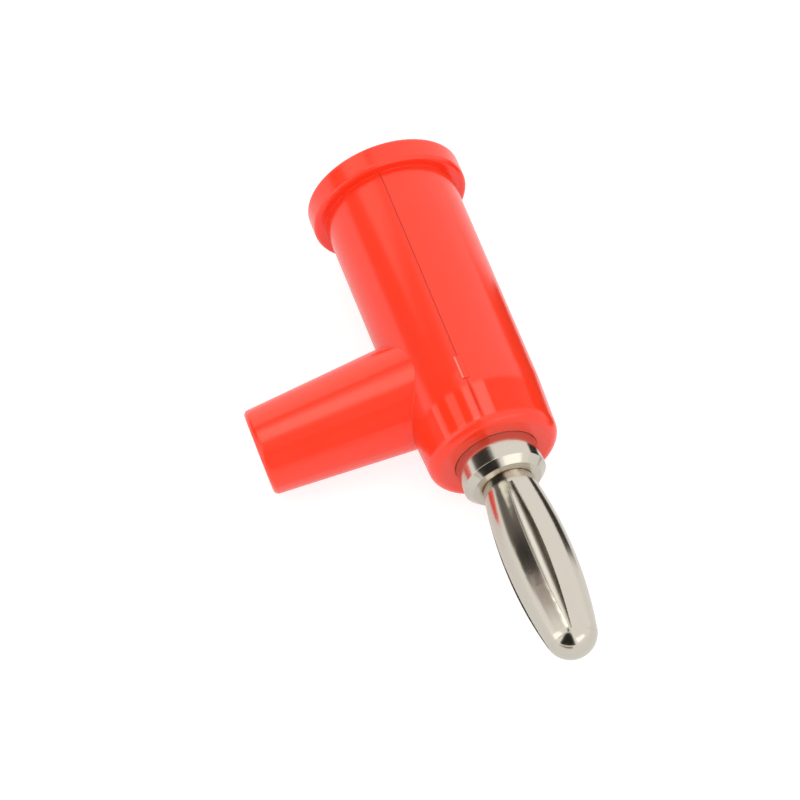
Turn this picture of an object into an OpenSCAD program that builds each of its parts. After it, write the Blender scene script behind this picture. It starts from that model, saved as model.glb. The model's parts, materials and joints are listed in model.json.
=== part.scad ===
// Stackable side-entry banana plug, lying as it comes to rest on a flat table.
// Plug axis: +X towards the spring pin. Side tube: -Y. Origin: crossing of the two axes.
// All lengths in millimetres.

/* [Insulating body] */
// Outer diameter of the barrel
barrel_d = 10; // [8.8:0.1:11.2]
// Length of the moulding from the flange face to the end of the barrel
body_len = 24.7; // [23:0.1:30]
// Outer diameter of the flange at the jack end
flange_d = 11.65; // [11.4:0.05:14]
// Thickness of the flange
flange_t = 1.9; // [1.2:0.1:3]
// Edge rounding of the flange
flange_round = 0.3; // [0.1:0.05:0.5]
// Length of the tapered and rounded lower end of the barrel
nose_len = 4.8; // [3:0.1:6]
// Taper of the lower end of the barrel in degrees
nose_taper = 2.5; // [0.5:0.1:2.5]
// Edge rounding of the lower end of the barrel
nose_round = 0.85; // [0.4:0.05:1.1]
// Thickness of the lip that covers the end of the contact core
lip_t = 1.6; // [1:0.1:2.4]
// Diameter of the jack opening in the lip
lip_hole_d = 4.6; // [4.3:0.1:5.4]

/* [Cable tube] */
// Distance from the flange face to the axis of the cable tube
tube_at = 17.2; // [16.6:0.1:19]
// Distance from the plug axis to the end of the cable tube
tube_len = 15.5; // [12:0.1:20]
// Diameter of the cable tube where its cone reaches the plug axis
tube_root_d = 8.4; // [7.6:0.1:9]
// Diameter of the cable tube at its end
tube_end_d = 6.35; // [6:0.05:7.4]
// Edge rounding of the end of the cable tube
tube_round = 0.4; // [0.2:0.05:0.6]
// Diameter of the hole for the cable
cable_hole_d = 4; // [3:0.1:4.6]
// Distance from the plug axis to the step where the cable's jacket stops and the funnel begins
cable_stop = 4.6; // [4.2:0.1:6]

/* [Contact core] */
// Outer diameter of the core and of its collar
core_d = 6.1; // [5.8:0.1:7]
// Length of the collar that stands out of the barrel
collar_len = 2.4; // [1.8:0.1:4]
// Chamfer of the collar edge
collar_chamfer = 0.5; // [0.2:0.05:0.8]
// Diameter of the jack bore
jack_d = 4; // [3.8:0.05:4.2]
// Depth of the jack bore below the flange face
jack_depth = 13.5; // [11:0.1:14.5]
// Diameter of the cross hole for the bare wire
wire_hole_d = 2.5; // [1.6:0.1:2.6]
// Diameter of the tapped hole for the clamp screw
screw_hole_d = 3; // [2.6:0.1:3.2]

/* [Spring pin] */
// Length of the pin from the collar face to the tip
pin_len = 14.85; // [13:0.05:19]
// Diameter of the spring at its widest place
pin_bulge_d = 5.04; // [4.6:0.02:5.3]
// Distance from the collar face to the widest place of the spring
bulge_at = 6.7; // [5.5:0.1:7]
// Diameter of the ball tip
tip_d = 3.8; // [3.6:0.02:4]
// Thickness of the four sprung leaves
leaf_t = 0.45; // [0.3:0.05:0.5]
// Width of the gaps between the leaves at the widest place
slit_w = 1; // [0.6:0.05:1.2]
// Width of the gaps at their ends
slit_end_w = 0.12; // [0.1:0.02:0.2]
// Distance from the collar face to the gaps
slit_at = 1; // [0.8:0.1:1.6]
// Turn of the gaps about the plug axis in degrees
slit_turn = 87; // [45:1:90]
// Length of the ring that joins the leaves at the head
end_ring = 0.2; // [0.15:0.05:0.4]
// Depth of the spring's root in its seat in the collar
seat_depth = 0.6; // [0.4:0.1:1]

/* [Core pin] */
// Length of the domed head that holds the spring on the rod
head_len = 1.1; // [0.9:0.05:1.3]
// Diameter of the rod inside the spring
rod_d = 2.4; // [2:0.1:2.6]
// Diameter of the tail that is pressed into the core
tail_d = 3; // [2.8:0.1:3.2]
// Length of the tail below the collar face
tail_len = 3.4; // [2.6:0.1:4]

/* [Clamp screw] */
// Length of the slotted screw
screw_len = 2.4; // [1.8:0.1:2.4]
// Width of the driver slot
slot_w = 0.5; // [0.3:0.05:0.7]
// Depth of the driver slot
slot_depth = 0.8; // [0.5:0.05:1]

/* [Fits] */
// Radial gap of the parts that are pressed together
press_gap = 0.02; // [0.01:0.01:0.05]
// Radial running gap of the clamp screw
screw_gap = 0.05; // [0.03:0.01:0.1]
// Chamfer of the hole mouths and of the hidden edges
small_chamfer = 0.3; // [0.2:0.05:0.4]

/* [Hidden] */
$fn = 96;

barrel_r = barrel_d / 2;
flange_r = flange_d / 2;
core_r = core_d / 2;
jack_r = jack_d / 2;
wire_r = wire_hole_d / 2;
rod_r = rod_d / 2;
tail_r = tail_d / 2;
tip_r = tip_d / 2;
over = 1;

// stations along the plug axis
face_x = -tube_at;
flange_x = face_x + flange_t;
lip_x = face_x + lip_t;
jack_x = face_x + jack_depth;
nose_x = body_len - tube_at;
taper_x = nose_x - nose_len;
collar_x = nose_x + collar_len;
seat_x = collar_x - seat_depth;
tip_x = collar_x + pin_len;
head_x = tip_x - head_len;

// lower end of the barrel: a taper that runs smoothly into the edge rounding
round_x = nose_x - nose_round;
touch_x = round_x + nose_round * sin(nose_taper);
touch_r = barrel_r - (touch_x - taper_x) * tan(nose_taper);
round_r = touch_r - nose_round * cos(nose_taper);

// end of the cable tube: its draft runs smoothly into the edge rounding
tube_draft = atan2((tube_root_d - tube_end_d) / 2, tube_len);
tube_edge_y = tube_len - tube_round;
tube_touch_y = tube_edge_y + tube_round * sin(tube_draft);
tube_touch_r = tube_end_d / 2 + (tube_len - tube_touch_y) * tan(tube_draft);
tube_edge_r = tube_touch_r - tube_round * cos(tube_draft);

// screw travel: backed out to free the wire hole, driven in to clamp a wire
screw_bottom_x = wire_r + small_chamfer;
screw_tip_x = -wire_r;

// outline of the spring and the head: one long arc that runs smoothly into the ball tip
bulge_r = pin_bulge_d / 2;
bulge_x = collar_x + bulge_at;
tip_ball_x = tip_x - tip_r;
bow_r = (pow(tip_ball_x - bulge_x, 2) + pow(bulge_r, 2) - pow(tip_r, 2)) / (2 * (bulge_r - tip_r));
bow_turn = asin((tip_ball_x - bulge_x) / (bow_r - tip_r));
join_r = (tip_r + over) * cos(bow_turn);
join_x = tip_ball_x + (tip_r + over) * sin(bow_turn);
root_r = bulge_r - bow_r + sqrt(pow(bow_r, 2) - pow(bulge_x - collar_x, 2));
slit_x = collar_x + slit_at;
slit_end_x = head_x - end_ring;
slit_swell = (slit_w - slit_end_w) / 2;
slit_bow_r = (pow(slit_end_x - bulge_x, 2) + pow(slit_swell, 2)) / (2 * slit_swell);

// rest on a table: the flange rim, the barrel and the end of the tube touch it
rim_x = flange_x - flange_round;
rim_r = flange_r - flange_round;
rim_to_taper = taper_x - rim_x;
rim_to_round = round_x - rim_x;
pitch_taper = atan2(rim_r - barrel_r, rim_to_taper)
    + asin(flange_round / norm([rim_to_taper, rim_r - barrel_r]));
pitch_round = atan2(rim_r - round_r, rim_to_round)
    + asin((flange_round - nose_round) / norm([rim_to_round, rim_r - round_r]));
pitch = min(pitch_taper, pitch_round);
height = rim_x * sin(pitch) + rim_r * cos(pitch) + flange_round;
droop = asin((height - tube_round) / norm([tube_edge_y, tube_edge_r]))
    - atan2(tube_edge_r, tube_edge_y);
roll = asin(sin(droop) / cos(pitch));

module lay_down() {
    rotate([roll, pitch, 0]) children();
}

module along_plug() {
    rotate([0, 90, 0]) children();
}

module along_tube() {
    rotate([90, 0, 0]) children();
}

// solid cylinder or cone on the plug axis between two stations
module turned(x0, x1, r0, r1) {
    along_plug()
        translate([0, 0, x0])
            cylinder(h = x1 - x0, r1 = r0, r2 = r1);
}

// half section of the flange and the barrel
module body_section() {
    polygon([
        [0, face_x],
        [rim_r, face_x],
        [rim_r, flange_x],
        [0, flange_x]
    ]);
    polygon([
        [0, face_x + flange_round],
        [flange_r, face_x + flange_round],
        [flange_r, flange_x - flange_round],
        [0, flange_x - flange_round]
    ]);
    translate([rim_r, face_x + flange_round]) circle(r = flange_round);
    translate([rim_r, flange_x - flange_round]) circle(r = flange_round);
    polygon([
        [0, flange_x - over],
        [barrel_r, flange_x - over],
        [barrel_r, taper_x],
        [touch_r, touch_x],
        [round_r, round_x],
        [round_r, nose_x],
        [0, nose_x]
    ]);
    translate([round_r, round_x]) circle(r = nose_round);
}

// half section of the tapered cable tube
module tube_section() {
    polygon([
        [0, 0],
        [tube_root_d / 2, 0],
        [tube_touch_r, tube_touch_y],
        [tube_edge_r, tube_edge_y],
        [tube_edge_r, tube_len],
        [0, tube_len]
    ]);
    translate([tube_edge_r, tube_edge_y]) circle(r = tube_round);
}

module insulating_body() {
    color([0.85, 0.09, 0.06])
    lay_down()
    difference() {
        union() {
            along_plug() rotate_extrude() body_section();
            along_tube() rotate_extrude() tube_section();
        }
        turned(lip_x, nose_x + over, core_r + press_gap, core_r + press_gap);
        turned(face_x - over, lip_x + over, lip_hole_d / 2, lip_hole_d / 2);
        turned(
            face_x - small_chamfer, face_x + 2 * small_chamfer,
            lip_hole_d / 2 + 3 * small_chamfer, lip_hole_d / 2
        );
        along_tube()
            translate([0, 0, wire_r])
                cylinder(h = cable_stop - wire_r, r1 = wire_r, r2 = cable_hole_d / 2);
        along_tube()
            translate([0, 0, cable_stop])
                cylinder(h = tube_len - cable_stop + over, d = cable_hole_d);
        along_tube()
            translate([0, 0, tube_len - small_chamfer])
                cylinder(
                    h = 2 * small_chamfer,
                    r1 = cable_hole_d / 2,
                    r2 = cable_hole_d / 2 + 2 * small_chamfer
                );
    }
}

module contact_core() {
    color([0.78, 0.76, 0.72])
    lay_down()
    difference() {
        union() {
            turned(lip_x, lip_x + small_chamfer, core_r - small_chamfer, core_r);
            turned(lip_x + small_chamfer, collar_x - collar_chamfer, core_r, core_r);
            turned(collar_x - collar_chamfer, collar_x, core_r, core_r - collar_chamfer);
        }
        turned(lip_x - over, jack_x, jack_r, jack_r);
        turned(lip_x - small_chamfer, lip_x + small_chamfer, jack_r + 2 * small_chamfer, jack_r);
        turned(jack_x - over, screw_bottom_x, screw_hole_d / 2, screw_hole_d / 2);
        along_tube() cylinder(h = core_d + over, d = wire_hole_d, center = true);
        turned(collar_x - tail_len, collar_x + over, tail_r + press_gap, tail_r + press_gap);
        turned(seat_x, collar_x + over, root_r + press_gap, root_r + press_gap);
    }
}

// half section of the outline: the long arc as far as the ray where it meets the ball, then the ball
module pin_section() {
    intersection() {
        translate([bulge_r - bow_r, bulge_x]) circle(r = bow_r, $fn = 720);
        polygon([
            [0, seat_x],
            [bulge_r + over, seat_x],
            [join_r, join_x],
            [0, tip_ball_x]
        ]);
    }
    intersection() {
        translate([0, tip_ball_x]) circle(r = tip_r);
        polygon([
            [0, tip_ball_x],
            [join_r, join_x],
            [join_r, tip_x + over],
            [0, tip_x + over]
        ]);
    }
}

// half section of the spring between its seat and the head
module spring_section() {
    intersection() {
        pin_section();
        translate([rod_r + press_gap, seat_x]) square([bulge_r, head_x - seat_x]);
    }
}

// half section of the domed head
module head_section() {
    intersection() {
        translate([0, tip_ball_x]) circle(r = tip_r);
        translate([0, head_x]) square([tip_r, head_len + over]);
    }
}

// half section of the hollow inside the leaves
module hollow_section() {
    intersection() {
        translate([bulge_r - bow_r, bulge_x]) circle(r = bow_r - leaf_t, $fn = 720);
        translate([0, slit_x]) square([bulge_r, slit_end_x - slit_x]);
    }
}

// lens-shaped gap right through the spring, widest at the bulge
module slit_pair() {
    rotate([90, 0, 90])
        linear_extrude(height = 2 * pin_bulge_d, center = true)
            intersection() {
                translate([slit_w / 2 - slit_bow_r, bulge_x]) circle(r = slit_bow_r, $fn = 720);
                translate([slit_bow_r - slit_w / 2, bulge_x]) circle(r = slit_bow_r, $fn = 720);
                translate([-slit_w, slit_x]) square([2 * slit_w, slit_end_x - slit_x]);
            }
}

module core_pin() {
    color([0.80, 0.78, 0.74])
    lay_down() {
        turned(
            collar_x - tail_len, collar_x - tail_len + small_chamfer,
            tail_r - small_chamfer, tail_r
        );
        turned(collar_x - tail_len + small_chamfer, seat_x, tail_r, tail_r);
        turned(seat_x - over, head_x + head_len / 4, rod_r, rod_r);
        along_plug() rotate_extrude() head_section();
    }
}

module spring_pin() {
    color([0.80, 0.78, 0.74])
    lay_down()
    along_plug()
    difference() {
        rotate_extrude() spring_section();
        rotate_extrude() hollow_section();
        for (side = [0, 90])
            rotate([0, 0, slit_turn + side]) slit_pair();
    }
}

module clamp_screw() {
    color([0.70, 0.69, 0.66])
    lay_down()
    difference() {
        screw_r = screw_hole_d / 2 - screw_gap;
        union() {
            turned(screw_tip_x - screw_len, screw_tip_x - small_chamfer, screw_r, screw_r);
            turned(screw_tip_x - small_chamfer, screw_tip_x, screw_r, screw_r - small_chamfer);
        }
        translate([screw_tip_x - screw_len - over, -slot_w / 2, -screw_r - over])
            cube([slot_depth + over, slot_w, 2 * (screw_r + over)]);
    }
}

insulating_body();
contact_core();
core_pin();
spring_pin();
clamp_screw();
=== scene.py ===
"""Red stackable banana plug, lying on a white table."""

import json
import math

import bpy
from mathutils import Matrix, Vector


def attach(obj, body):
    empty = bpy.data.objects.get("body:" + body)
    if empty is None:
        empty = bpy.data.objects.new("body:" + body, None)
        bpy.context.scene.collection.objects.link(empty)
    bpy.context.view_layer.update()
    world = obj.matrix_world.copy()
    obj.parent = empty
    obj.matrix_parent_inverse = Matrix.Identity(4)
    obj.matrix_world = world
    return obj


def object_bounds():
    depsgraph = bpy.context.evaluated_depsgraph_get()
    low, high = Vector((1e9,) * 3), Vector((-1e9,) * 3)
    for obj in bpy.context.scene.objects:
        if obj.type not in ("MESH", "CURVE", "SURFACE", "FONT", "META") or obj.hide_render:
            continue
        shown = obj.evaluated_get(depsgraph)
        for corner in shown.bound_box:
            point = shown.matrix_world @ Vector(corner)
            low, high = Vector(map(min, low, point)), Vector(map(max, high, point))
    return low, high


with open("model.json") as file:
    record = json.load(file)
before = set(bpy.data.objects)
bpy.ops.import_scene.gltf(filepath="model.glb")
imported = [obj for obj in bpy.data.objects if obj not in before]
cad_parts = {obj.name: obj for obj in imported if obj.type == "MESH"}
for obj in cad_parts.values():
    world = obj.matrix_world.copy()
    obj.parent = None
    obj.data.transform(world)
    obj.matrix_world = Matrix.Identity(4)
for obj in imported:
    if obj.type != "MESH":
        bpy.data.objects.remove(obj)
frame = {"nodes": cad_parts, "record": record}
cad_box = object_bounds()

MM = 0.001
FLOOR_Z = cad_box[0].z
MOUNTS = {mount["name"]: mount for mount in frame["record"]["mounts"]}

# Camera, in the row frame: angles in degrees, lengths in metres, sensor and lens in millimetres
CAMERA_AZIMUTH = 76.0
CAMERA_ELEVATION = 54.75
CAMERA_ROLL = -6.06
CAMERA_DISTANCE = 0.417
CAMERA_AIM = Vector((0.0, -4.66, -0.79)) * MM
CAMERA_CLIP = (0.01, 10.0)
SENSOR = 36.0
LENS = 263.0

# Moulding marks on the barrel, in the plug frame, in millimetres
BARREL_R = 5.0
FLANGE_X = -15.3
TAPER_X = 2.7
TAPER_END_X = 6.4
TAPER_END_R = 4.84
SEAM_W = 0.09
SEAM_H = 0.015
NOSE_SEAM_DROP = 0.035
GATE_X = 2.5
GATE_SIZE = (2.0, 0.5)
GATE_H = 0.04
STREAK_Y = -0.2
STREAK_SIZE = (1.9, 0.14)
STREAK_H = 0.05
BLOCK_DEPTH = 0.04
BLOCK_BEVEL = 0.03

# Red moulding: linear colours, ranges of roughness, grain scales per metre, relief in metres
RED = ((0.95, 0.036, 0.009), (0.98, 0.042, 0.012))
RED_ROUGHNESS = (0.16, 0.22)
SEAM_RED = ((0.62, 0.018, 0.005), (0.70, 0.022, 0.007))
SEAM_ROUGHNESS = (0.35, 0.5)
GATE_RED = ((0.95, 0.20, 0.14), (1.0, 0.28, 0.20))
GATE_ROUGHNESS = (0.3, 0.6)
PLASTIC_IOR = 1.55
SCATTER_WEIGHT = 0.15
SCATTER_RADIUS = (1.0, 0.25, 0.12)
SCATTER_DEPTH = 1.2 * MM
TINT_SCALE = 140.0
SHEEN_SCALE = 400.0
RIPPLE_SCALE = 220.0
RIPPLE_DETAIL = 2.0
RIPPLE_STRENGTH = 0.03
RIPPLE_HEIGHT = 0.02 * MM
PLASTIC_EDGE = 0.12 * MM

# Band on the nose with lighter bars of painted reflection: x in millimetres, angles about the axis in
# degrees from the top
NOSE_BAND = (3.8, 4.3, 6.7, 7.0)
NOSE_SIDES = (-75.0, -45.0, 50.0, 80.0)
NOSE_REFLECTION_BARS = ((-35.0, 3.0), (-19.0, 4.0), (-4.5, 3.0), (7.0, 5.0))
BAR_SOFT = 1.5
PAINTED_REFLECTION_RED = (0.98, 0.085, 0.05)
FULL_GLOSS = 0.5
BAND_GLOSS = 0.15

# Metals: linear colours, ranges of roughness, stretch of the tool marks along the plug frame's axes
NICKEL = (0.64, 0.60, 0.525)
TURNED_ROUGHNESS = (0.10, 0.18)
TURNED_MARKS = (6.0, 0.4, 0.4)
SPRING_ROUGHNESS = (0.12, 0.20)
SPRING_MARKS = (0.4, 2.0, 2.0)
STEEL = (0.62, 0.61, 0.58)
STEEL_ROUGHNESS = (0.2, 0.3)
STEEL_MARKS = (4.0, 0.5, 0.5)
MARK_SCALE = 900.0
MARK_DETAIL = 4.0
MARK_SHADE = 0.95
MARK_STRENGTH = 0.12
MARK_HEIGHT = 0.01 * MM
METAL_EDGE = 0.06 * MM

# Painted brown shade in the crease around the pin's root, and matt rod inside the spring with painted light,
# in the plug frame, in millimetres
CREASE_SHADE_BROWN = (0.36, 0.20, 0.09)
CREASE_SHADE_IN = 1.8
CREASE_SHADE_OUT = 2.2
CREASE_SHADE_X = 9.6
COLLAR_X = 9.9
SPOT_SCALE = 700.0
SPOT_EDGE = (0.30, 0.60)
# rod colour: nickel painted much lighter, as painted light in the gaps of the spring
ROD_PAINTED_LIGHT = (0.95, 0.90, 0.81)
ROD_ROUGHNESS = 0.36
ROD_END_X = 23.4
ROD_FADE = 0.2
HEAD_ROUGHNESS = 0.12

# Table and sky: strengths for lighting and for what the camera and reflections see
FLOOR_SIZE = 3.0
FLOOR_COLOUR = (0.35, 0.35, 0.35)
FLOOR_SHADE = 0.98
FLOOR_GRAIN = 30.0
FLOOR_ROUGHNESS = 0.9
FLOOR_GLOSS = 0.1
FLOOR_GLOW = 0.56
FLOOR_SEEN = 0.80
SKY_COLOUR = (1.0, 0.99, 0.97)
SKY = 0.92
SKY_SEEN = 1.08

# Cards for reflections: brightness, and places in metres
GREY = (0.17, 0.155, 0.145)
ROSE = (0.52, 0.44, 0.41)
BROWN = (0.30, 0.22, 0.14)
BLACK = (0.03, 0.026, 0.022)
WHITE = (1.7, 1.68, 1.64)
PALE = (1.25, 1.23, 1.08)
GLARE = (2.7, 2.7, 2.3)
FLOOR_CARD_Z = FLOOR_Z + 0.0002
PIN_LENGTH = 13.0 * MM

# Soft lamps: name, direction, distance and size in metres, power in watts
LAMPS = (
    ("softbox_right", (-0.25, 0.75, 0.75), 0.7, 0.5, 0.6),
    ("softbox_top", (0.15, -0.1, 1.0), 0.9, 0.6, 1.2),
    ("softbox_front", (0.9, -0.2, 0.35), 0.6, 0.4, 0.4),
)

# Sockets of a colour mix node, which has no unique names for them
MIX_LOW = 6
MIX_HIGH = 7
MIX_RESULT = 2
BEVEL_SAMPLES = 6


def plug_frame():
    """Matrix to the row frame from the plug's own: x to the pin, -y along the cable tube, z up."""
    x = Vector(MOUNTS["plug_pin"]["axis"]).normalized()
    y = -Vector(MOUNTS["cable_entry"]["axis"]).normalized()
    z = x.cross(y)
    return Matrix((x, y, z)).transposed().to_4x4()


LAID = plug_frame()


def node_material(name):
    """New node material with a principled shader; returns material, tree and shader."""
    material = bpy.data.materials.new(name)
    material.use_nodes = True
    tree = material.node_tree
    return material, tree, tree.nodes["Principled BSDF"]


def link(tree, source, target):
    """Joins two sockets."""
    tree.links.new(source, target)


def plug_place(tree):
    """Position in the plug frame."""
    place = tree.nodes.new("ShaderNodeTexCoord")
    turn = tree.nodes.new("ShaderNodeMapping")
    turn.vector_type = "TEXTURE"
    turn.inputs["Rotation"].default_value = LAID.to_euler()
    link(tree, place.outputs["Object"], turn.inputs["Vector"])
    return turn.outputs["Vector"]


def split(tree, vector):
    """The three parts of a vector, by name."""
    parts = tree.nodes.new("ShaderNodeSeparateXYZ")
    link(tree, vector, parts.inputs["Vector"])
    return parts.outputs


def noise(tree, scale, detail=3.0, stretch=(1.0, 1.0, 1.0)):
    """Noise in the plug frame; returns its factor socket."""
    size = tree.nodes.new("ShaderNodeMapping")
    size.inputs["Scale"].default_value = stretch
    grain = tree.nodes.new("ShaderNodeTexNoise")
    grain.inputs["Scale"].default_value = scale
    grain.inputs["Detail"].default_value = detail
    link(tree, plug_place(tree), size.inputs["Vector"])
    link(tree, size.outputs["Vector"], grain.inputs["Vector"])
    return grain.outputs["Fac"]


def combine(tree, operation, one, other):
    """Result of an operation on two values."""
    node = tree.nodes.new("ShaderNodeMath")
    node.operation = operation
    link(tree, one, node.inputs[0])
    link(tree, other, node.inputs[1])
    return node.outputs[0]


def times(tree, one, other):
    """Product of two values."""
    return combine(tree, "MULTIPLY", one, other)


def step(tree, value, start, end):
    """Smooth step from 0 at start to 1 at end."""
    ramp = tree.nodes.new("ShaderNodeMapRange")
    ramp.interpolation_type = "SMOOTHSTEP"
    ramp.inputs["From Min"].default_value = start
    ramp.inputs["From Max"].default_value = end
    link(tree, value, ramp.inputs["Value"])
    return ramp.outputs["Result"]


def window(tree, value, start, full, fade, end):
    """1 from full to fade, with smooth steps down to 0 at start and end."""
    return times(tree, step(tree, value, start, full), step(tree, value, end, fade))


def between(tree, factor, low, high):
    """Maps a factor to a range of values."""
    span = tree.nodes.new("ShaderNodeMapRange")
    span.inputs["To Min"].default_value = low
    span.inputs["To Max"].default_value = high
    link(tree, factor, span.inputs["Value"])
    return span.outputs["Result"]


def colour_between(tree, factor, low, high):
    """Mixes two colours, each a plain colour or a socket, by a factor."""
    mix = tree.nodes.new("ShaderNodeMix")
    mix.data_type = "RGBA"
    link(tree, factor, mix.inputs[0])
    for colour, target in ((low, mix.inputs[MIX_LOW]), (high, mix.inputs[MIX_HIGH])):
        if isinstance(colour, bpy.types.NodeSocket):
            link(tree, colour, target)
        else:
            target.default_value = (*colour, 1.0)
    return mix.outputs[MIX_RESULT]


def shaded(colour, share):
    """A colour darkened to a share of its brightness."""
    return [part * share for part in colour]


def base_colour(shader):
    """Socket that the shader's base colour comes from."""
    return shader.inputs["Base Color"].links[0].from_socket


def from_axis(tree):
    """Distance from the plug axis, in metres."""
    flat = tree.nodes.new("ShaderNodeVectorMath")
    flat.operation = "MULTIPLY"
    flat.inputs[1].default_value = (0.0, 1.0, 1.0)
    length = tree.nodes.new("ShaderNodeVectorMath")
    length.operation = "LENGTH"
    link(tree, plug_place(tree), flat.inputs[0])
    link(tree, flat.outputs["Vector"], length.inputs[0])
    return length.outputs["Value"]


def bump(tree, shader, height, strength, distance, edge):
    """Adds a fine relief and rounded edges to a shader."""
    rounded = tree.nodes.new("ShaderNodeBevel")
    rounded.samples = BEVEL_SAMPLES
    rounded.inputs["Radius"].default_value = edge
    relief = tree.nodes.new("ShaderNodeBump")
    relief.inputs["Strength"].default_value = strength
    relief.inputs["Distance"].default_value = distance
    link(tree, height, relief.inputs["Height"])
    link(tree, rounded.outputs["Normal"], relief.inputs["Normal"])
    link(tree, relief.outputs["Normal"], shader.inputs["Normal"])


def plastic(name, colours, roughness):
    """Glossy moulding, slightly translucent; returns material, tree and shader."""
    material, tree, shader = node_material(name)
    tint = noise(tree, TINT_SCALE)
    link(tree, colour_between(tree, tint, *colours), shader.inputs["Base Color"])
    link(tree, between(tree, noise(tree, SHEEN_SCALE), *roughness), shader.inputs["Roughness"])
    shader.inputs["IOR"].default_value = PLASTIC_IOR
    shader.inputs["Subsurface Weight"].default_value = SCATTER_WEIGHT
    shader.inputs["Subsurface Radius"].default_value = SCATTER_RADIUS
    shader.inputs["Subsurface Scale"].default_value = SCATTER_DEPTH
    ripple = noise(tree, RIPPLE_SCALE, RIPPLE_DETAIL)
    bump(tree, shader, ripple, RIPPLE_STRENGTH, RIPPLE_HEIGHT, PLASTIC_EDGE)
    return material, tree, shader


def body_red():
    """Red of the body: on top of the nose a duller band with lighter bars of painted reflection."""
    material, tree, shader = plastic("red_plastic", RED, RED_ROUGHNESS)
    place = split(tree, plug_place(tree))
    turned = combine(tree, "ARCTAN2", place["Y"], place["Z"])
    along = window(tree, place["X"], *[value * MM for value in NOSE_BAND])
    upper = window(tree, turned, *[math.radians(value) for value in NOSE_SIDES])
    band = times(tree, along, upper)
    bars = None
    for middle, half_width in NOSE_REFLECTION_BARS:
        edges = (
            middle - half_width - BAR_SOFT,
            middle - half_width + BAR_SOFT,
            middle + half_width - BAR_SOFT,
            middle + half_width + BAR_SOFT,
        )
        bar = window(tree, turned, *[math.radians(value) for value in edges])
        bars = bar if bars is None else combine(tree, "MAXIMUM", bars, bar)
    dull = times(tree, band, between(tree, bars, 1.0, 0.0))
    link(tree, between(tree, dull, FULL_GLOSS, BAND_GLOSS), shader.inputs["Specular IOR Level"])
    # the lighter red of the bars is a painted reflection, not a colour of the moulding
    painted_reflection = colour_between(tree, times(tree, band, bars), base_colour(shader), PAINTED_REFLECTION_RED)
    link(tree, painted_reflection, shader.inputs["Base Color"])
    return material


def metal(name, colour, roughness, stretch):
    """Bright metal with fine tool marks; returns material, tree and shader."""
    material, tree, shader = node_material(name)
    marks = noise(tree, MARK_SCALE, MARK_DETAIL, stretch)
    tone = colour_between(tree, marks, shaded(colour, MARK_SHADE), colour)
    link(tree, tone, shader.inputs["Base Color"])
    link(tree, between(tree, marks, *roughness), shader.inputs["Roughness"])
    shader.inputs["Metallic"].default_value = 1.0
    bump(tree, shader, marks, MARK_STRENGTH, MARK_HEIGHT, METAL_EDGE)
    return material, tree, shader


def core_nickel():
    """Nickel of the contact core, with painted brown shade in the crease around the pin's root."""
    material, tree, shader = metal("nickel_core", NICKEL, TURNED_ROUGHNESS, TURNED_MARKS)
    # painted shade: mottled brown in the crease between the collar face and the pin's root
    front = step(tree, split(tree, plug_place(tree))["X"], CREASE_SHADE_X * MM, COLLAR_X * MM)
    near = times(tree, front, step(tree, from_axis(tree), CREASE_SHADE_OUT * MM, CREASE_SHADE_IN * MM))
    spots = step(tree, noise(tree, SPOT_SCALE), *SPOT_EDGE)
    crease_shaded = colour_between(tree, times(tree, near, spots), base_colour(shader), CREASE_SHADE_BROWN)
    link(tree, crease_shaded, shader.inputs["Base Color"])
    return material


def pin_nickel():
    """Nickel of the core pin: glossy on the domed head; matt on the rod inside the spring, with a much
    lighter colour there as painted light.
    """
    material, tree, shader = metal("nickel_pin", NICKEL, TURNED_ROUGHNESS, TURNED_MARKS)
    marks = noise(tree, MARK_SCALE, MARK_DETAIL, TURNED_MARKS)
    # the rod's much lighter colour is painted light for the gaps of the spring
    matt_painted_light = colour_between(tree, marks, shaded(ROD_PAINTED_LIGHT, MARK_SHADE), ROD_PAINTED_LIGHT)
    along = split(tree, plug_place(tree))["X"]
    head = step(tree, along, ROD_END_X * MM, (ROD_END_X + ROD_FADE) * MM)
    link(tree, colour_between(tree, head, matt_painted_light, base_colour(shader)), shader.inputs["Base Color"])
    link(tree, between(tree, head, ROD_ROUGHNESS, HEAD_ROUGHNESS), shader.inputs["Roughness"])
    return material


red_material = body_red()
seam_material = plastic("seam_red", SEAM_RED, SEAM_ROUGHNESS)[0]
gate_material = plastic("gate_red", GATE_RED, GATE_ROUGHNESS)[0]
core_material = core_nickel()
pin_material = pin_nickel()
spring_material = metal("nickel_spring", NICKEL, SPRING_ROUGHNESS, SPRING_MARKS)[0]
steel_material = metal("screw_steel", STEEL, STEEL_ROUGHNESS, STEEL_MARKS)[0]

for node, material in (
    ("insulating_body", red_material),
    ("contact_core", core_material),
    ("core_pin", pin_material),
    ("spring_pin", spring_material),
    ("clamp_screw", steel_material),
):
    frame["nodes"][node].data.materials.clear()
    frame["nodes"][node].data.materials.append(material)


def add_object(name, data):
    """New object in the scene."""
    piece = bpy.data.objects.new(name, data)
    bpy.context.scene.collection.objects.link(piece)
    return piece


def plug_piece(name, vertices, faces, material):
    """Piece of the moulding, drawn in the plug frame in millimetres."""
    mesh = bpy.data.meshes.new(name)
    mesh.from_pydata([LAID @ (Vector(v) * MM) for v in vertices], [], faces)
    mesh.materials.append(material)
    piece = add_object(name, mesh)
    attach(piece, "plug")
    return piece


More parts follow.
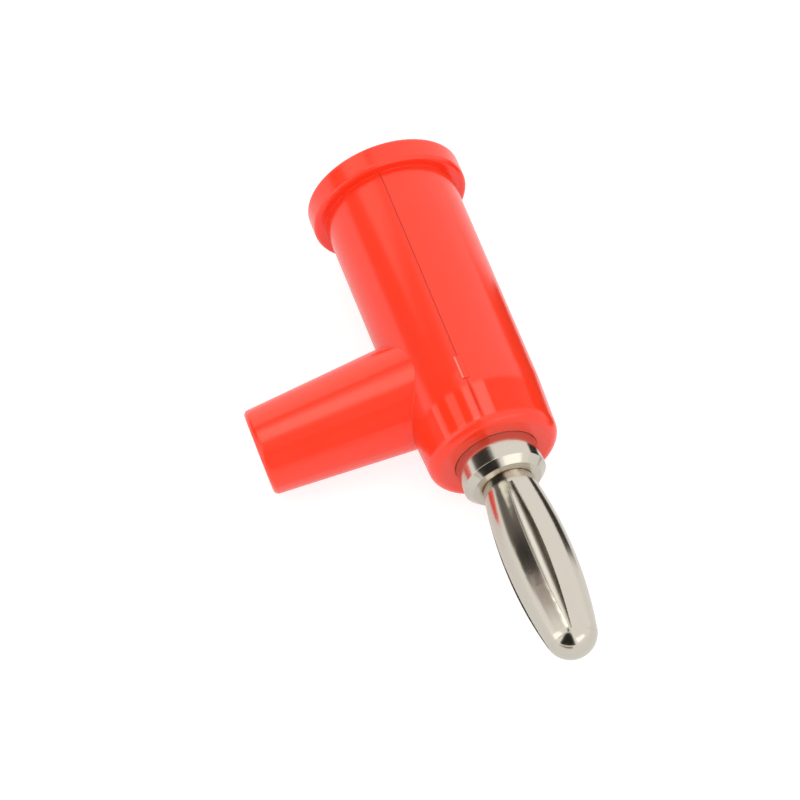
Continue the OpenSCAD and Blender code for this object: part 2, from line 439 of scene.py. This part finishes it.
def seam(name, side, outline):
    """Fine closed ridge along the parting line of the mould, on the upper or lower side of the barrel."""
    vertices = []
    for x, r in outline:
        foot = side * (r - SEAM_H)
        vertices += [(x, -SEAM_W / 2, foot), (x, 0.0, side * (r + SEAM_H)), (x, SEAM_W / 2, foot)]
    faces = []
    for i in range(len(outline) - 1):
        a = 3 * i
        faces += [(a, a + 1, a + 4, a + 3), (a + 1, a + 2, a + 5, a + 4), (a, a + 3, a + 5, a + 2)]
    last = 3 * (len(outline) - 1)
    faces += [(0, 2, 1), (last, last + 1, last + 2)]
    if side > 0:
        faces = [face[::-1] for face in faces]
    return plug_piece(name, vertices, faces, seam_material)


def low_block(name, middle, size, height, material):
    """Low closed block with chamfered upper edges on top of the barrel."""
    length, width = size
    corners = [(-1, -1), (1, -1), (1, 1), (-1, 1)]
    rings = [
        (BARREL_R - BLOCK_DEPTH, 0.0),
        (BARREL_R + height - BLOCK_BEVEL, 0.0),
        (BARREL_R + height, BLOCK_BEVEL),
    ]
    vertices = []
    for z, shrink in rings:
        for u, v in corners:
            x = middle[0] + u * (length / 2 - shrink)
            y = middle[1] + v * (width / 2 - shrink)
            vertices.append((x, y, z))
    faces = [(8, 9, 10, 11), (3, 2, 1, 0)]
    for ring in (0, 4):
        for i in range(4):
            j = (i + 1) % 4
            faces.append((ring + i, ring + j, ring + 4 + j, ring + 4 + i))
    return plug_piece(name, vertices, faces, material)


gate_start = GATE_X - GATE_SIZE[0] / 2
gate_end = GATE_X + GATE_SIZE[0] / 2
seam("seam_upper", 1, [(FLANGE_X, BARREL_R), (gate_start, BARREL_R)])
seam("seam_upper_nose", 1, [(gate_end, BARREL_R - NOSE_SEAM_DROP), (TAPER_END_X, TAPER_END_R)])
seam("seam_lower", -1, [(FLANGE_X, BARREL_R), (TAPER_X, BARREL_R), (TAPER_END_X, TAPER_END_R)])
low_block("gate_mark", (GATE_X, 0.0), GATE_SIZE, GATE_H, red_material)
low_block("gate_streak", (GATE_X, STREAK_Y), STREAK_SIZE, STREAK_H, gate_material)


def seen_rays(tree, names):
    """1 for the named kinds of ray, else 0."""
    path = tree.nodes.new("ShaderNodeLightPath")
    total = path.outputs[names[0]]
    for name in names[1:]:
        total = combine(tree, "MAXIMUM", total, path.outputs[name])
    return total


def floor_material():
    """White table: pale and matt, and light enough to read as the white background."""
    material, tree, shader = node_material("table")
    shade = noise(tree, FLOOR_GRAIN)
    tone = colour_between(tree, shade, shaded(FLOOR_COLOUR, FLOOR_SHADE), FLOOR_COLOUR)
    link(tree, tone, shader.inputs["Base Color"])
    shader.inputs["Roughness"].default_value = FLOOR_ROUGHNESS
    shader.inputs["Specular IOR Level"].default_value = FLOOR_GLOSS
    shader.inputs["Emission Color"].default_value = (1.0, 1.0, 1.0, 1.0)
    glow = between(tree, seen_rays(tree, ["Is Camera Ray"]), FLOOR_GLOW, FLOOR_SEEN)
    link(tree, glow, shader.inputs["Emission Strength"])
    return material


def quad(name, corners, material):
    """Flat four-sided stage piece with a unit square of texture space."""
    mesh = bpy.data.meshes.new(name)
    mesh.from_pydata(corners, [], [(0, 1, 2, 3)])
    square = mesh.uv_layers.new(name="square")
    for loop, corner in zip(square.data, ((0, 0), (1, 0), (1, 1), (0, 1))):
        loop.uv = corner
    mesh.materials.append(material)
    piece = add_object(name, mesh)
    return piece


def card_material(name, colour, fades):
    """Glowing card that fades out at its sides: start and end of u, then of v, as shares of its size."""
    material, tree, shader = node_material(name)
    place = split(tree, tree.nodes.new("ShaderNodeTexCoord").outputs["UV"])
    across = window(tree, place["X"], 0.0, fades[0], 1.0 - fades[1], 1.0)
    along = window(tree, place["Y"], 0.0, fades[2], 1.0 - fades[3], 1.0)
    shader.inputs["Base Color"].default_value = (0.0, 0.0, 0.0, 1.0)
    shader.inputs["Specular IOR Level"].default_value = 0.0
    shader.inputs["Emission Color"].default_value = (*colour, 1.0)
    shader.inputs["Emission Strength"].default_value = 1.0
    link(tree, times(tree, across, along), shader.inputs["Alpha"])
    return material


def card(name, corners, colour, fades):
    """Card that is seen in reflections alone."""
    piece = quad(name, corners, card_material(name, colour, fades))
    piece.visible_camera = False
    piece.visible_diffuse = False
    piece.visible_shadow = False
    piece.visible_transmission = False
    return piece


def facing(direction, distance, width, height):
    """Corners of a rectangle across a direction from the plug."""
    out = Vector(direction).normalized()
    side = out.cross(Vector((0.0, 0.0, 1.0))).normalized() * (width / 2)
    rise = side.cross(out).normalized() * (height / 2)
    middle = out * distance
    return [middle - side - rise, middle + side - rise, middle + side + rise, middle - side + rise]


def spread(distance, directions):
    """Corners at a distance from the tip of the pin, each in its own direction."""
    pin = MOUNTS["plug_pin"]
    tip = Vector(pin["pos_m"]) + Vector(pin["axis"]) * PIN_LENGTH
    return [tip + Vector(direction).normalized() * distance for direction in directions]


def on_floor(places):
    """Corners just above the table."""
    return [(x, y, FLOOR_CARD_Z) for x, y in places]


half = FLOOR_SIZE / 2
quad(
    "table",
    [(-half, -half, FLOOR_Z), (half, -half, FLOOR_Z), (half, half, FLOOR_Z), (-half, half, FLOOR_Z)],
    floor_material(),
)

CARDS = (
    (
        "card_far_left",
        facing((-0.62, -0.50, 0.55), 0.5, 0.46, 0.52),
        GREY,
        (0.12, 0.04, 0.15, 0.10),
    ),
    (
        "card_dark_left",
        spread(0.42, [(-0.52, -0.83, 0.2), (-0.28, -0.92, 0.27), (-0.22, -0.36, 0.9), (-0.56, -0.32, 0.76)]),
        BLACK,
        (0.25, 0.45, 0.12, 0.06),
    ),
    (
        "card_rose_left",
        spread(0.4, [(-0.36, -0.86, 0.36), (-0.14, -0.9, 0.4), (-0.06, -0.36, 0.93), (-0.34, -0.34, 0.88)]),
        ROSE,
        (0.30, 0.60, 0.12, 0.10),
    ),
    (
        "card_floor_right",
        on_floor([(-0.012, 0.010), (0.015, 0.010), (-0.16, 0.36), (-0.24, 0.36)]),
        BLACK,
        (0.06, 0.15, 0.006, 0.05),
    ),
    (
        "card_floor_front",
        on_floor([(0.033, -0.012), (0.040, -0.002), (0.11, -0.02), (0.06, -0.09)]),
        BROWN,
        (0.20, 0.20, 0.25, 0.05),
    ),
    (
        "card_front",
        spread(0.5, [(0.46, -0.89, 0.02), (0.97, 0.06, 0.02), (0.52, -0.04, 0.85), (0.40, -0.30, 0.87)]),
        BLACK,
        (0.20, 0.14, 0.02, 0.25),
    ),
    (
        "card_bright_right",
        spread(0.6, [(0.97, 0.12, 0.12), (0.55, 0.76, 0.20), (0.60, 0.66, 0.45), (0.86, 0.02, 0.56)]),
        WHITE,
        (0.15, 0.15, 0.15, 0.15),
    ),
    (
        "card_bright_left",
        spread(0.6, [(-0.20, -0.97, 0.05), (0.36, -0.93, 0.05), (0.40, -0.55, 0.74), (0.10, -0.70, 0.72)]),
        WHITE,
        (0.15, 0.10, 0.10, 0.15),
    ),
    (
        "card_tube_glare",
        spread(0.55, [(-0.40, -0.30, 0.87), (0.14, -0.30, 0.95), (0.14, -0.17, 0.97), (-0.40, -0.17, 0.90)]),
        GLARE,
        (0.20, 0.20, 0.10, 0.10),
    ),
    (
        "card_tube_dark",
        spread(0.55, [(0.12, -0.31, 0.94), (0.52, -0.31, 0.80), (0.52, -0.16, 0.84), (0.12, -0.16, 0.98)]),
        BLACK,
        (0.12, 0.05, 0.10, 0.10),
    ),
    (
        "card_tube_back",
        [(-0.060, -0.036, 0.006), (-0.060, 0.000, 0.006), (-0.035, -0.011, 0.048), (-0.035, -0.042, 0.048)],
        PALE,
        (0.15, 0.08, 0.10, 0.08),
    ),
)
for name, corners, colour, fades in CARDS:
    card(name, corners, colour, fades)


def add_sky():
    """Even sky, a little brighter to the camera and to reflections than as light."""
    world = bpy.data.worlds.new("studio")
    bpy.context.scene.world = world
    world.use_nodes = True
    tree = world.node_tree
    sky = tree.nodes["Background"]
    sky.inputs["Color"].default_value = (*SKY_COLOUR, 1.0)
    seen = seen_rays(tree, ["Is Camera Ray", "Is Glossy Ray", "Is Transmission Ray"])
    link(tree, between(tree, seen, SKY, SKY_SEEN), sky.inputs["Strength"])


def softbox(name, direction, distance, size, power):
    """Square soft lamp that looks at the plug."""
    lamp = bpy.data.lights.new(name, "AREA")
    lamp.shape = "SQUARE"
    lamp.size = size
    lamp.energy = power
    piece = add_object(name, lamp)
    out = Vector(direction).normalized()
    piece.location = out * distance
    piece.rotation_euler = out.to_track_quat("Z", "Y").to_euler()
    piece.visible_glossy = False
    return piece


def add_camera():
    """The photo's camera."""
    camera = add_object("camera", bpy.data.cameras.new("camera"))
    azimuth = math.radians(CAMERA_AZIMUTH)
    elevation = math.radians(CAMERA_ELEVATION)
    roll = math.radians(CAMERA_ROLL)
    level = math.cos(elevation)
    back = Vector((math.sin(azimuth) * level, -math.cos(azimuth) * level, math.sin(elevation)))
    level_right = Vector((math.cos(azimuth), math.sin(azimuth), 0.0))
    level_up = back.cross(level_right)
    right = level_right * math.cos(roll) + level_up * math.sin(roll)
    up = back.cross(right)
    place = Matrix((right, up, back)).transposed().to_4x4()
    place.translation = CAMERA_AIM + back * CAMERA_DISTANCE
    camera.matrix_world = place
    camera.data.sensor_width = SENSOR
    camera.data.lens = LENS
    camera.data.clip_start, camera.data.clip_end = CAMERA_CLIP
    bpy.context.scene.camera = camera


add_sky()
for lamp in LAMPS:
    softbox(*lamp)
add_camera()
bpy.context.scene.view_settings.view_transform = "Standard"
